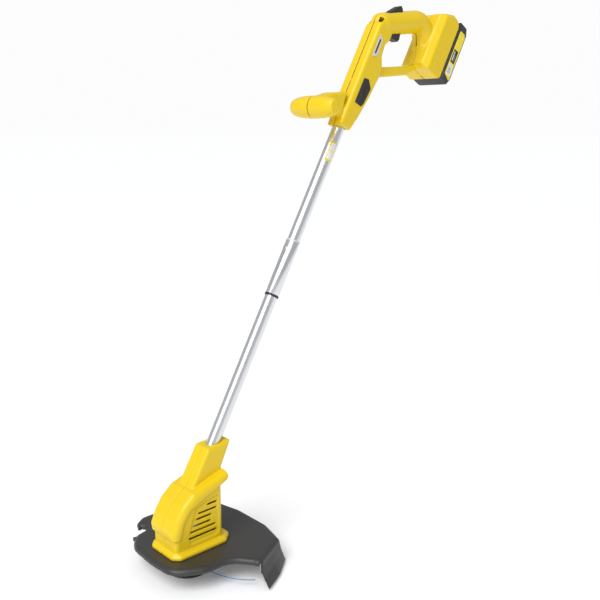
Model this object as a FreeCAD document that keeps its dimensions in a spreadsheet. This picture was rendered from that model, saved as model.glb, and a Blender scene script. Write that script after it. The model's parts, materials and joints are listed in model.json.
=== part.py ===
"""String trimmer: a battery garden trimmer with a leaning tube, a motor head with guard and a D-shaped grip.

Frame: +Z up along the spool axis, +X from the head towards the user's grip, the origin on the spool axis
at the bottom of the tap knob. Lengths are in millimetres. Pieces above the motor housing are drawn in the
shaft's own frame: z along the tube from the point where the tube's and the spool's axes cross, x square to
it and down towards the back.
"""
import FreeCAD
import Part
import Sketcher
import math
import os
import re

SIZES = {
    # shaft frame
    "lean_angle": 29.65, "cross_height": 109.0,
    # general walls and clearances
    "shell_wall": 2.6, "fit_gap": 0.05, "seat_gap": 0.3, "seam_gap": 0.08, "half_space": 900.0,
    # tubes and their joint
    "tube_radius": 11.0, "tube_wall": 1.2, "tube_foot": 35.0, "tube_meet": 432.0, "tube_top": 800.0,
    "sleeve_start": 384.0, "sleeve_end": 486.0, "sleeve_wall": 1.3, "ring_width": 3.0,
    "snap_place": 470.0, "snap_radius": 3.2, "snap_stand": 1.6, "snap_root": 7.0, "leaf_thickness": 1.0,
    "leaf_reach": 15.0,
    "label_start": 643.0, "label_end": 680.0, "label_skin": 0.25,
    "cable_radius": 3.0, "cable_foot": 22.0, "cable_top": 846.0, "cable_aside": 4.5,
    # cutting head
    "head_radius": 39.0, "head_wall": 2.2, "cover_low": 1.0, "cover_floor": 2.4,
    "base_skirt_low": 9.0, "base_top": 30.0, "base_plate": 3.0, "hub_radius": 8.5, "hub_top": 39.0,
    "post_radius": 5.0, "post_low": 12.0, "knob_radius": 17.5, "grip_ribs": 16.0, "knob_height": 6.0,
    "spool_radius": 33.0, "spool_core": 14.0, "spool_low": 6.3, "spool_top": 21.0, "spool_flange": 1.8,
    "winding_radius": 28.0, "spring_radius": 9.5, "spring_wire": 0.7, "spring_turns": 3.0,
    "eyelet_height": 13.8, "eyelet_hole": 1.5, "eyelet_radius": 3.2, "eyelet_turn": -84.0,
    "line_radius": 0.8, "route_radius": 39.0, "route_height": 13.8,
    # guard
    "guard_top": 44.0, "guard_wall": 2.6, "guard_low": 20.0, "guard_back": 141.0, "guard_front": 75.0,
    "guard_side": 134.0, "guard_round": 9.0, "guard_sweep": 38.0, "guard_hole": 12.0,
    "guard_front_low": 34.0, "flap_low": 4.0,
    "flap_flare": 18.8, "flap_bow": 4.0,
    # motor housing
    "flange_top": 53.0, "flange_front": 52.0, "flange_back": 68.0, "flange_side": 41.0,
    "case_side": 32.5, "case_back": 50.0, "case_front": 46.0, "case_top": 150.0, "hood_side": 36.0,
    "hood_band": 15.0, "neck_side": 19.5, "neck_top": 210.0, "case_round": 7.0,
    "panel_depth": 1.4, "vent_height": 2.2, "vent_pitch": 9.75, "vent_low": 70.0, "panel_low": 61.0,
    "floor_thickness": 3.0, "floor_hole": 10.0,
    # motor
    "motor_radius": 22.0, "can_wall": 1.8, "motor_low": 61.0, "motor_top": 112.0, "bracket_height": 3.0,
    "bearing_radius": 8.0, "bearing_width": 5.0, "shaft_radius": 2.5, "shaft_low": 31.0, "shaft_top": 117.0,
    "rotor_radius": 14.5, "rotor_low": 69.0, "rotor_top": 101.0, "magnet_thickness": 4.5,
    "commutator_radius": 5.0, "commutator_height": 4.5, "brush_width": 4.0,
    "fan_radius": 25.0, "fan_low": 49.0, "fan_height": 6.5, "fan_blades": 9.0, "fan_disc": 1.4,
    # handle
    "handle_low": 709.0, "handle_side": 19.0, "handle_round": 6.0, "grip_radius": 21.0, "grip_rise": 36.9,
    "grip_fall": -57.1, "grip_bend": 26.0, "grip_start_p": 3.9, "grip_start_l": 925.4, "grip_end_p": 130.0,
    "grip_end_l": 952.5, "collar_radius": 22.6, "collar_length": 15.0,
    "dock_front": 114.0, "dock_back": 166.0, "dock_low": 909.0, "dock_top": 1032.0, "dock_side": 34.5,
    "dock_chamfer": 11.0, "dock_round": 7.0, "rib_side": 10.0, "front_bar_half": 52.0,
    # trigger, lock button
    "trigger_width": 15.0, "trigger_from": 13.0, "trigger_to": 43.0, "trigger_depth": 33.0, "pin_radius": 2.0,
    "pin_reach": 16.0, "pin_inset": 5.0, "pin_out": 12.0,
    "lock_width": 16.0, "lock_from": 17.0, "lock_to": 54.0, "lock_rise": 9.0,
    # battery
    "pack_back": 197.0, "pack_low": 915.0, "pack_top": 1036.0, "pack_side": 35.0, "pack_round": 5.0,
    "pack_wall": 2.0,
    "rail_side": 27.0, "rail_front": 150.0, "cell_radius": 9.1, "cell_length": 65.0, "cell_count": 5.0,
    # fasteners
    "screw_radius": 1.6, "screw_head": 3.2, "screw_head_height": 2.2, "boss_radius": 3.6,
    # motor housing outline
    "foot_round": 7.0, "foot_slope": 4.0, "nose_front": 52.0, "nose_low": 76.0, "cheek_front": 43.0,
    "cheek_height": 110.0,
    "brow_front": 29.0, "brow_height": 130.0, "crown_front": 8.0, "crown_height": 147.0, "hood_back": 62.0,
    "hood_rise": 168.0, "hood_drop": 153.0, "hood_round": 10.0, "neck_front": 34.0, "neck_back": 81.0,
    "neck_round": 5.0,
    # guard flap
    "flap_start": 51.0, "flap_start_side": 130.0, "flap_end": 126.0, "flap_end_side": 92.0,
    # handle outline
    "barrel_front": 16.0, "handle_top": 944.0, "front_bar_x": 291.0, "front_bar_z": 762.0,
    "front_bar_tall": 19.5,
    "front_bar_deep": 18.0, "neck_bar_side": 15.0, "board_thickness": 2.0, "board_length": 60.0,
    "insert_depth": 1.6, "plate_thickness": 1.0, "label_depth": 0.4,
}

doc = FreeCAD.newDocument("StringTrimmer")
sheet = doc.addObject("Spreadsheet::Sheet", "sizes")
for row, (alias, value) in enumerate(SIZES.items(), start=1):
    sheet.set(f"A{row}", alias)
    sheet.set(f"B{row}", repr(value))
    sheet.setAlias(f"B{row}", alias)
doc.recompute()

Vector = FreeCAD.Vector
AXES = {"x": Vector(1, 0, 0), "y": Vector(0, 1, 0), "z": Vector(0, 0, 1)}
NODES = []


def size(alias):
    """The value of one named size."""
    return float(sheet.get(alias))


def bound(text):
    """An expression with every named size read from the sheet."""
    return re.sub(r"[a-z_]{3,}",
                  lambda word: "sizes." + word.group() if word.group() in SIZES else word.group(), text)


def place(item, x="0", y="0", z="0", turn=None):
    """Places an object; turn is an axis letter or vector with an angle expression."""
    if turn:
        axis, angle = turn
        item.Placement = FreeCAD.Placement(Vector(), FreeCAD.Rotation(AXES.get(axis, axis), 1))
        item.setExpression("Placement.Rotation.Angle", bound(angle))
    for letter, text in (("x", x), ("y", y), ("z", z)):
        item.setExpression("Placement.Base." + letter, bound(text))
    return item


def on_shaft(item):
    """Stands an object drawn in the shaft's frame on the leaning shaft, in a holder if it is placed."""
    if item.TypeId in ("Part::Box", "Part::Cylinder", "Part::Feature"):
        item.Label = item.Name + "_drawn"
        item = group(item.Name + "_leaning", item)
    return place(item, z="cross_height", turn=("y", "lean_angle"))


def node(item, label):
    """Names an object as one of the kept sub-parts."""
    item.Label = label
    NODES.append(item)
    return item


def cylinder(name, radius, height, x="0", y="0", z="0", turn=None):
    item = doc.addObject("Part::Cylinder", name)
    item.setExpression("Radius", bound(radius))
    item.setExpression("Height", bound(height))
    return place(item, x, y, z, turn)


def box(name, length, width, height, x="0", y="0", z="0", turn=None):
    """A box from its low corner, or turned about that corner."""
    item = doc.addObject("Part::Box", name)
    for side, text in (("Length", length), ("Width", width), ("Height", height)):
        item.setExpression(side, bound(text))
    return place(item, x, y, z, turn)


def cut(name, base, *tools):
    """The base with the tools taken away."""
    item = doc.addObject("Part::Cut", name)
    item.Base = base
    item.Tool = tools[0] if len(tools) == 1 else fuse(name + "_tools", *tools)
    return item


def fuse(name, *pieces):
    item = doc.addObject("Part::MultiFuse", name)
    item.Shapes = list(pieces)
    return item


def common(name, first, second):
    item = doc.addObject("Part::Common", name)
    item.Base = first
    item.Tool = second
    return item


def group(name, *pieces):
    """Pieces kept as one node with a place of its own."""
    item = doc.addObject("Part::Compound", name)
    item.Links = list(pieces)
    return item


def outline(body, plane, points):
    """A closed sketch on one of the body's own planes, each corner bound to its two expressions."""
    sketch = body.newObject("Sketcher::SketchObject", body.Name + "_outline")
    face = next(item for item in body.Origin.OriginFeatures if item.Role == plane)
    sketch.AttachmentSupport = [(face, "")]
    sketch.MapMode = "FlatFace"
    count = len(points)
    rough = [Vector(math.cos(2 * math.pi * i / count), math.sin(2 * math.pi * i / count),
                    0) for i in range(count)]
    for i in range(count):
        sketch.addGeometry(Part.LineSegment(rough[i], rough[(i + 1) % count]))
    for i in range(count):
        sketch.addConstraint(Sketcher.Constraint("Coincident", i, 2, (i + 1) % count, 1))
    for i, (across, up) in enumerate(points):
        for kind, text in (("DistanceX", across), ("DistanceY", up)):
            here = rough[i].x if kind == "DistanceX" else rough[i].y
            number = sketch.addConstraint(Sketcher.Constraint(kind, -1, 1, i, 1, here))
            sketch.setExpression(f"Constraints[{number}]", bound(text))
    return sketch


def padded(name, plane, points, length, rounding=None, side="Symmetric"):
    """A body padded from a plane to both sides or one; rounding is (radius expression, edge test)."""
    body = doc.addObject("PartDesign::Body", name)
    pad = body.newObject("PartDesign::Pad", name + "_pad")
    pad.Profile = outline(body, plane, points)
    pad.SideType = side
    pad.setExpression("Length", bound(length))
    if rounding:
        rounded(body, *rounding)
    return body


def rounded(body, radius, chosen, kind="Fillet"):
    """Rounds or chamfers the edges of the body's last feature that pass the test."""
    doc.recompute()
    last = body.Tip
    edges = [f"Edge{i}" for i, edge in enumerate(last.Shape.Edges, start=1) if chosen(edge)]
    item = body.newObject("PartDesign::" + kind, f"{body.Name}_{kind}_{len(body.Group)}")
    item.Base = (last, edges)
    item.setExpression("Radius" if kind == "Fillet" else "Size", bound(radius))
    return body


def turned(name, points):
    """A body turned about its own Z axis from an outline of radii and heights."""
    body = doc.addObject("PartDesign::Body", name)
    sketch = outline(body, "XZ_Plane", points)
    spin = body.newObject("PartDesign::Revolution", name + "_spin")
    spin.Profile = sketch
    spin.ReferenceAxis = (sketch, ["V_Axis"])
    spin.Angle = 360
    return body


def along(letter):
    """Test for straight edges along one axis."""
    axis = AXES[letter]

    def chosen(edge):
        if edge.Curve.TypeId != "Part::GeomLine":
            return False
        first, last = edge.Vertexes[0].Point, edge.Vertexes[-1].Point
        run = (last - first).normalize()
        return abs(run.dot(axis)) > 0.999
    return chosen


def on_sides(edge):
    """Test for the edges that lie in one of the two side faces of a piece padded across Y."""
    ys = [vertex.Point.y for vertex in edge.Vertexes]
    return abs(ys[0] - ys[-1]) < 1e-6


def at_height(height):
    """Test for the edges that lie flat at one height."""
    def chosen(edge):
        bounds = edge.BoundBox
        return abs(bounds.ZMin - height) < 1e-6 and abs(bounds.ZMax - height) < 1e-6
    return chosen


def bent_path(points, bends):
    """A wire of straight runs joined by tangent arcs of the given radii at its inner points."""
    edges = []
    start = points[0]
    for i, bend in enumerate(bends, start=1):
        corner = points[i]
        back = (points[i - 1] - corner).normalize()
        ahead = (points[i + 1] - corner).normalize()
        half = back.getAngle(ahead) / 2
        reach = bend / math.tan(half)
        first, last = corner + back * reach, corner + ahead * reach
        middle = corner + (back + ahead).normalize() * (bend / math.sin(half) - bend)
        edges.append(Part.LineSegment(start, first).toShape())
        edges.append(Part.Arc(first, middle, last).toShape())
        start = last
    edges.append(Part.LineSegment(start, points[-1]).toShape())
    return Part.Wire(edges)


def pipe(name, points, bends, radius):
    """A round bar along a bent path."""
    wire = bent_path(points, bends)
    run = (points[1] - points[0]).normalize()
    ring = Part.Wire(Part.Circle(points[0], run, radius).toShape())
    item = doc.addObject("Part::Feature", name)
    item.Shape = wire.makePipeShell([ring], True, False)
    print(f"{name}: length {wire.Length:.1f}, bends {[round(bend, 1) for bend in bends]}, "
          f"volume ratio {item.Shape.Volume / (math.pi * radius ** 2 * wire.Length):.4f}")
    return item


# ---------------------------------------------------------------- tubes

def tubes():
    """Two aluminium tubes that meet inside a joint sleeve, with a sealing ring and a warning label."""
    for name, low, high in (("tube_lower", "tube_foot", "tube_meet"),
                            ("tube_upper", "tube_meet + seat_gap", "tube_top")):
        outside = cylinder(name + "_outside", "tube_radius", f"{high} - ({low})", z=low)
        inside = cylinder(name + "_inside", "tube_radius - tube_wall", f"{high} - ({low})", z=low)
        tube = cut(name, outside, inside, snap_hole(name)) if name == "tube_upper" else cut(name, outside,
                                                                                            inside)
        node(on_shaft(tube), name)
    outside = cylinder("sleeve_outside", "tube_radius + sleeve_wall", "sleeve_end - sleeve_start",
                       z="sleeve_start")
    inside = cylinder("sleeve_inside", "tube_radius + fit_gap / 2", "sleeve_end - sleeve_start",
                      z="sleeve_start")
    node(on_shaft(cut("joint_sleeve", outside, inside, snap_hole("sleeve"))), "joint_sleeve")
    for name, low in (("seal_ring", "sleeve_start - ring_width"), ("sleeve_collar", "sleeve_end")):
        outside = cylinder(name + "_outside", "tube_radius + sleeve_wall + fit_gap", "ring_width", z=low)
        inside = cylinder(name + "_inside", "tube_radius + fit_gap / 2", "ring_width", z=low)
        node(on_shaft(cut(name, outside, inside)), name)
    skin = cylinder("label_outside", "tube_radius + label_skin", "label_end - label_start", z="label_start")
    inside = cylinder("label_inside", "tube_radius + 0.01", "label_end - label_start", z="label_start")
    window = box("label_window", "1.06 * tube_radius", "tube_radius", "label_end - label_start",
                 x="-0.87 * tube_radius", y="-1.4 * tube_radius", z="label_start")
    node(on_shaft(common("tube_label", cut("label_skin_ring", skin, inside), window)), "tube_label")


def snap_hole(owner):
    """The round hole in the front of the tube or sleeve that the snap button stands through."""
    return cylinder(owner + "_snap_hole", "snap_radius + fit_gap", "3 * tube_radius / 2", z="snap_place",
                    turn=("y", "-90"))


def snap_button():
    """A sprung button inside the upper tube that locks it to the sleeve, on a bent leaf spring."""
    head = cylinder("snap_head", "snap_radius", "tube_radius - snap_root + sleeve_wall + snap_stand",
                    x="-snap_root",
                    z="snap_place", turn=("y", "-90"))
    node(on_shaft(head), "snap_button")
    leaf = box("snap_leaf", "leaf_thickness", "2 * snap_radius", "2 * leaf_reach", x="-snap_root + seat_gap",
               y="-snap_radius", z="snap_place - leaf_reach")
    feet = [box(f"snap_foot_{i}", "tube_radius - tube_wall - snap_root - 2 * seat_gap", "2 * snap_radius",
                "leaf_thickness",
                x="-(tube_radius - tube_wall) + 3 * seat_gap", y="-snap_radius", z=z)
            for i, z in enumerate(("snap_place - leaf_reach", "snap_place + leaf_reach - leaf_thickness"))]
    node(on_shaft(fuse("snap_spring", leaf, *feet)), "snap_spring")


# ---------------------------------------------------------------- cutting head

def head():
    """The turning head: hub and skirt, cover, sprung spool with its winding and tap knob, eyelet and line."""
    hub = turned("hub", [("post_radius - 2.4", "post_low"), ("post_radius", "post_low"),
                         ("post_radius", "base_top - base_plate"),
                         ("head_radius - head_wall", "base_top - base_plate"),
                         ("head_radius - head_wall", "base_skirt_low"),
                         ("head_radius + 0.6", "base_skirt_low"),
                         ("head_radius", "base_top - 2"), ("head_radius - 2", "base_top"),
                         ("hub_radius", "base_top"), ("hub_radius", "hub_top"),
                         ("shaft_radius + fit_gap", "hub_top"), ("shaft_radius + fit_gap", "shaft_low - 0.5"),
                         ("post_radius - 2.4", "shaft_low - 0.5")])
    door = cylinder("eyelet_door", "eyelet_radius", "2 * head_wall + 2",
                    x="(head_radius - 4) * cos(eyelet_turn)",
                    y="(head_radius - 4) * sin(eyelet_turn)", z="eyelet_height")
    aim(door)
    node(cut("head_base", hub, door), "head_base")
    cover = turned("cover_turned", [("knob_radius + 0.6", "cover_low"), ("head_radius - 2", "cover_low"),
                                    ("head_radius - 0.4", "cover_low + 3"),
                                    ("head_radius + 0.6", "base_skirt_low - 0.3"),
                                    ("head_radius - head_wall - 2.4", "base_skirt_low - 0.3"),
                                    ("head_radius - head_wall - 2.4", "cover_low + cover_floor"),
                                    ("knob_radius + 0.6", "cover_low + cover_floor")])
    node(with_grip_ribs(cover), "spool_cover")
    spool = turned("spool", [("post_radius + fit_gap", "spool_low"), ("spool_radius", "spool_low"),
                             ("spool_radius", "spool_low + spool_flange"),
                             ("spool_core", "spool_low + spool_flange"),
                             ("spool_core", "spool_top - spool_flange"),
                             ("spool_radius", "spool_top - spool_flange"),
                             ("spool_radius", "spool_top"), ("post_radius + fit_gap", "spool_top")])
    node(spool, "spool")
    winding = turned("line_winding", [("spool_core", "spool_low + spool_flange"),
                                      ("winding_radius", "spool_low + spool_flange"),
                                      ("winding_radius", "spool_top - spool_flange"),
                                      ("spool_core", "spool_top - spool_flange")])
    node(winding, "line_winding")
    knob = turned("tap_knob", [("0", "0"), ("knob_radius - 3", "0"), ("knob_radius", "1.6"),
                               ("knob_radius", "knob_height + 0.3"), ("0", "knob_height + 0.3")])
    node(knob, "tap_knob")
    spring()
    collar = cylinder("eyelet_outside", "eyelet_radius", "head_wall + 2",
                      x="(head_radius - head_wall - 0.2) * cos(eyelet_turn)",
                      y="(head_radius - head_wall - 0.2) * sin(eyelet_turn)", z="eyelet_height")
    bore = cylinder("eyelet_bore", "eyelet_hole", "head_wall + 2",
                    x="(head_radius - head_wall - 0.2) * cos(eyelet_turn)",
                    y="(head_radius - head_wall - 0.2) * sin(eyelet_turn)", z="eyelet_height")
    node(cut("line_eyelet", aim(collar), aim(bore)), "line_eyelet")
    cutting_line()


def aim(item):
    """Turns a cylinder to lie flat and point out of the head through the eyelet."""
    turn = math.radians(size("eyelet_turn"))
    out = Vector(math.cos(turn), math.sin(turn), 0)
    item.Placement.Rotation = FreeCAD.Rotation(Vector(0, 0, 1), out)
    return item


def with_grip_ribs(cover):
    """Grip ribs round the cover's rim."""
    ribs = [box(f"grip_rib_{i}", "2.4", "1.4", "4.2",
                x=f"(head_radius - 1.6) * cos({i} * 360 / grip_ribs + 6)",
                y=f"(head_radius - 1.6) * sin({i} * 360 / grip_ribs + 6)", z="cover_low + 2.6",
                turn=("z", f"{i} * 360 / grip_ribs + 6")) for i in range(int(size("grip_ribs")))]
    return fuse("spool_cover", cover, *ribs)


def spring():
    """The spool's coil spring, between the head and the spool's upper flange."""
    low = size("spool_top") + size("spring_wire") + 0.05
    high = size("base_top") - size("base_plate") - size("spring_wire") - 0.05
    rise = high - low
    coil = Part.makeHelix(rise / size("spring_turns"), rise, size("spring_radius"))
    coil.translate(Vector(0, 0, low))
    start = Vector(size("spring_radius"), 0, low)
    ring = Part.Wire(Part.Circle(start, Vector(0, 1, 0), size("spring_wire")).toShape())
    item = doc.addObject("Part::Feature", "spool_spring")
    item.Shape = Part.Wire(coil).makePipeShell([ring], True, True)
    node(item, "spool_spring")


def cutting_line():
    """The free stretch of stiff nylon line, bending back behind the eyelet."""
    points = [Vector(*point) for point in LINE_ROUTE]
    bends = []
    for i in range(1, len(points) - 1):
        back, ahead = points[i] - points[i - 1], points[i + 1] - points[i]
        bends.append(0.45 * min(back.Length, ahead.Length) / math.tan(back.getAngle(ahead) / 2))
    line = pipe("cutting_line", points, bends, size("line_radius"))
    place(line, x="(head_radius - route_radius) * cos(eyelet_turn)",
          y="(head_radius - route_radius) * sin(eyelet_turn)", z="eyelet_height - route_height")
    node(line, "cutting_line")


# the line's way out of a head of route_radius, with its eyelet at route_height
LINE_ROUTE = [(3.7, -35.6, 13.8), (5.5, -52.7, 13.3), (11.0, -73.5, 12.6), (20.2, -92.9, 12.0),
              (33.2, -110.0, 11.3), (46.6, -120.8, 10.8)]


# ---------------------------------------------------------------- guard

def guard():
    """The black debris guard: a shallow dish, cut away at one side, notched in front, with a hanging flap."""
    edge = [("-0.95 * guard_front", "-0.40 * guard_side"), ("-0.66 * guard_front", "-0.52 * guard_side"),
            ("-0.32 * guard_front", "-0.63 * guard_side"), ("0.09 * guard_back", "-0.63 * guard_side"),
            ("0.22 * guard_back", "-0.71 * guard_side"), ("0.33 * guard_back", "13.42 - flap_start_side"),
            ("flap_start", "-flap_start_side"), ("flap_end", "-flap_end_side"),
            ("guard_back", "-0.28 * guard_side"), ("guard_back", "0.28 * guard_side"),
            ("0.92 * guard_back", "0.70 * guard_side"), ("0.64 * guard_back", "0.93 * guard_side"),
            ("0.25 * guard_back", "guard_side"), ("-0.10 * guard_front", "guard_side"),
            ("-0.38 * guard_front", "0.90 * guard_side"), ("-0.20 * guard_front", "0.70 * guard_side"),
            ("-0.62 * guard_front", "0.65 * guard_side"), ("-0.82 * guard_front", "0.54 * guard_side"),
            ("-0.95 * guard_front", "0.40 * guard_side"), ("-guard_front", "0")]
    dish = padded("guard_dish", "XY_Plane", edge, "guard_top - guard_low", ("guard_round", tight_corners),
                  "One side")
    place(dish, z="guard_low")
    rounded(dish, "guard_sweep", wide_corners)
    rounded(dish, "guard_round - 1", at_height(size("guard_top") - size("guard_low")))
    doc.recompute()
    solid = dish.Tip
    mouth = [f"Face{i}" for i, face in enumerate(solid.Shape.Faces, start=1) if face.BoundBox.ZMax < 1e-6]
    hollow = dish.newObject("PartDesign::Thickness", "guard_hollow")
    hollow.Base = (solid, mouth)
    hollow.setExpression("Value", bound("guard_wall"))
    hollow.Reversed = True
    hollow.Join = 1
    lift = padded("guard_front_trim", "XZ_Plane",
                  [("-2 * guard_front", "0"), ("2 * guard_back", "0"), ("2 * guard_back", "guard_low"),
                   ("0.3 * guard_back", "guard_low"), ("-0.3 * guard_front", "guard_front_low"),
                   ("-2 * guard_front", "guard_front_low")], "4 * guard_side")
    hole = cylinder("guard_hub_hole", "guard_hole", "3 * guard_wall", z="guard_top - 2 * guard_wall")
    lugs = [box(f"guard_lug_{i}", "9", "5", "7", x=x, y=y, z="guard_front_low - 1", turn=("z", turn))
            for i, (x, y, turn) in enumerate((("-0.29 * guard_front", "0.875 * guard_side", "215"),
                                              ("-0.60 * guard_front", "0.63 * guard_side", "150")))]
    near_lift = box("guard_near_trim", "flap_start + 3 + 2 * guard_front", "guard_side",
                    "guard_front_low - guard_low + 1", x="-2 * guard_front", y="-1.55 * guard_side",
                    z="guard_low - 1")
    trimmed = cut("guard_trimmed", dish, lift, near_lift, hole,
                  *screw_holes("guard", GUARD_SCREWS, "guard_top - 4", "6"))
    node(cut("guard", fuse("guard_whole", trimmed, flap(), *lugs), cutter_plate("blade_seat")), "guard")
    node(cutter_plate("line_cutter_blade"), "line_cutter_blade")


def tight_corners(edge):
    """The guard's upright edges at its front notch and at the two ends of its flap."""
    if not along("z")(edge):
        return False
    end = edge.Vertexes[0].Point
    reach = 2 * size("guard_round")
    at_notch = end.x < 0 and end.y > 0.6 * size("guard_side")
    flap_ends = [(size("flap_start"), -size("flap_start_side")), (size("flap_end"), -size("flap_end_side"))]
    return at_notch or any(math.hypot(end.x - x, end.y - y) < reach for x, y in flap_ends)


def wide_corners(edge):
    """The guard's other upright edges, which its rim sweeps round."""
    return along("z")(edge) and not tight_corners(edge)


def cutter_plate(name):
    """The steel plate let into the flap's near corner that trims the line to length."""
    return box(name, "22", "1.2", "16", x="flap_start + 2", y="-flap_start_side + 3.6", z="guard_low + 2",
               turn=("z", "26.5"))


def flap():
    """The flared deflector that hangs from the guard's straight rear edge, as a ruled plate."""
    top, low = size("guard_top") - size("guard_round"), size("flap_low")
    wall = size("guard_wall")
    start = Vector(size("flap_start"), -size("flap_start_side"), 0)
    end = Vector(size("flap_end"), -size("flap_end_side"), 0)
    run = (end - start).normalize()
    inward = Vector(-run.y, run.x, 0)
    rings = []
    for height, grow, shift in ((top, 0, 0), ((top + low) / 2, 0.4, 0.35), (low, 1, 1)):
        near = start - inward * (size("flap_flare") * grow) - run * (2 * size("flap_bow") * shift)
        far = end - inward * (0.52 * size("flap_flare") * grow) + run * (0.5 * size("flap_bow") * shift)
        middle = (near + far) / 2 - inward * (size("flap_bow") * grow)
        outer = [near, middle, far]
        corners = outer + [point + inward * wall for point in reversed(outer)]
        rings.append(Part.makePolygon([Vector(c.x, c.y, height) for c in corners + corners[:1]]))
    item = doc.addObject("Part::Feature", "guard_flap")
    item.Shape = Part.makeLoft(rings, True, True)
    return item


GUARD_SCREWS = [("-0.72 * flange_front", "0.62 * flange_side"),
                ("-0.72 * flange_front", "-0.62 * flange_side"),
                ("0.72 * flange_back", "0.55 * flange_side"), ("0.72 * flange_back", "-0.55 * flange_side")]


def screw_holes(owner, places, z, depth):
    return [cylinder(f"{owner}_hole_{i}", "screw_radius + fit_gap", depth, x=x, y=y, z=z)
            for i, (x, y) in enumerate(places)]


def guard_screws():
    """Four screws that hold the guard to the housing's foot from below."""
    screws = []
    for i, (x, y) in enumerate(GUARD_SCREWS):
        shank = cylinder(f"guard_screw_shank_{i}", "screw_radius", "guard_wall + 6", x=x, y=y,
                         z="guard_top - guard_wall")
        cap = cylinder(f"guard_screw_head_{i}", "screw_head", "screw_head_height", x=x, y=y,
                       z="guard_top - guard_wall - screw_head_height")
        screws.append(fuse(f"guard_screw_{i}", shank, cap))
    node(group("guard_screws", *screws), "guard_screws")


# ---------------------------------------------------------------- motor housing

def housing():
    """The yellow motor housing in two halves: foot, casing with vents, hood and neck."""
    foot = padded("foot", "XY_Plane",
                  [("-flange_front", "-0.72 * flange_side"), ("-0.8 * flange_front", "-flange_side"),
                   ("0.74 * flange_back", "-flange_side"), ("flange_back", "-0.60 * flange_side"),
                   ("flange_back", "0.60 * flange_side"), ("0.74 * flange_back", "flange_side"),
                   ("-0.8 * flange_front", "flange_side"), ("-flange_front", "0.72 * flange_side")],
                  "flange_top - guard_top", ("foot_round", along("z")), "One side")
    place(foot, z="guard_top")
    rounded(foot, "foot_slope", at_height(size("flange_top") - size("guard_top")), "Chamfer")
    casing = padded("casing", "XZ_Plane",
                    [("-case_front", "guard_top + 1"), ("case_back", "guard_top + 1"),
                     ("case_back", "case_top"),
                     ("0", "case_top - 6"), ("-0.55 * case_front", "0.86 * case_top"),
                     ("-0.80 * case_front", "0.72 * case_top"), ("-case_front", "0.5 * case_top")],
                    "2 * case_side", ("case_round", along("z")))
    hood = padded("hood", "XZ_Plane",
                  [("-nose_front + 2", "nose_low"), ("-nose_front + hood_band", "nose_low + 2"),
                   ("-cheek_front + hood_band - 2", "cheek_height - 6"),
                   ("-brow_front + hood_band - 2", "brow_height - 8"),
                   ("-crown_front + hood_band", "crown_height - hood_band + 1"),
                   ("0.55 * hood_back", "crown_height - 4"), ("hood_back - 4", "hood_drop"),
                   ("hood_back", "hood_drop + 6"),
                   ("hood_back - 2", "hood_rise"), ("-crown_front", "crown_height"),
                   ("-brow_front", "brow_height"),
                   ("-cheek_front", "cheek_height"), ("-nose_front", "nose_low + 13")],
                  "2 * hood_side", ("hood_round", hood_outer_edges))
    neck = padded("neck", "XZ_Plane",
                  [("-crown_front + 2", "crown_height - 4"), ("hood_back - 6", "crown_height - 2"),
                   ("hood_back - 2", "hood_rise + 2"), ("neck_back", "neck_top + 3"),
                   ("neck_front", "neck_top - 1")],
                  "2 * neck_side", ("neck_round", on_sides))
    outer = fuse("housing_outer", foot, casing, hood, neck)
    cavity = padded("housing_cavity", "XZ_Plane",
                    [("-case_front + shell_wall", "guard_top + floor_thickness"),
                     ("case_back - shell_wall", "guard_top + floor_thickness"),
                     ("case_back - shell_wall", "case_top - 7"), ("0", "case_top - 12"),
                     ("-0.45 * case_front", "0.82 * case_top"), ("-0.72 * case_front", "0.70 * case_top"),
                     ("-case_front + shell_wall", "0.5 * case_top")],
                    "2 * (case_side - shell_wall)")
    bore = on_shaft(cylinder("neck_bore", "tube_radius + fit_gap", "2 * neck_top", z="tube_foot - 2"))
    exit_hole = cylinder("floor_hole_tool", "floor_hole", "floor_thickness + 4", z="guard_top - 2")
    shell = cut("housing_shell", outer, cavity, bore, exit_hole, *panel_and_vents())
    ribs = cut("housing_ribs", common("ribs_in_case", fuse("rib_plates", *rib_plates()), casing),
               cylinder("motor_seat", "motor_radius + fit_gap", "case_top"))
    bosses = common("bosses_in_case",
                    fuse("housing_bosses", *boss_bars("housing", HOUSING_SCREWS, "case_side")),
                    fuse("case_and_neck", casing, neck))
    holes = [*bore_bars("housing", HOUSING_SCREWS, "case_side"),
             *screw_holes("foot", GUARD_SCREWS, "guard_top - 1", "8")]
    whole = cut("housing_whole", fuse("housing_solid", shell, ribs, bosses), *holes, bore)
    halves(whole, "motor_housing")


def hood_outer_edges(edge):
    """The hood's outer edges, from its back over the crown and down the nose, on both side faces."""
    corners = [(-size("crown_front"), size("crown_height")), (-size("brow_front"), size("brow_height")),
               (-size("cheek_front"), size("cheek_height")), (-size("nose_front"), size("nose_low") + 13)]
    ends = [vertex.Point for vertex in edge.Vertexes]
    return on_sides(edge) and any(abs(end.x - x) + abs(end.z - z) < 1e-6 for end in ends for x, z in corners)


def halves(whole, label):
    """Splits a symmetric casing on the middle plane into its left (-Y) and right (+Y) halves."""
    for side, low in (("left", "-half_space - seam_gap"), ("right", "seam_gap")):
        room = box(f"{label}_{side}_room", "3 * half_space", "half_space", "3 * half_space",
                   x="-half_space", y=low,
                   z="-half_space")
        node(common(f"{label}_{side}", whole, room), f"{label}_{side}")


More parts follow.
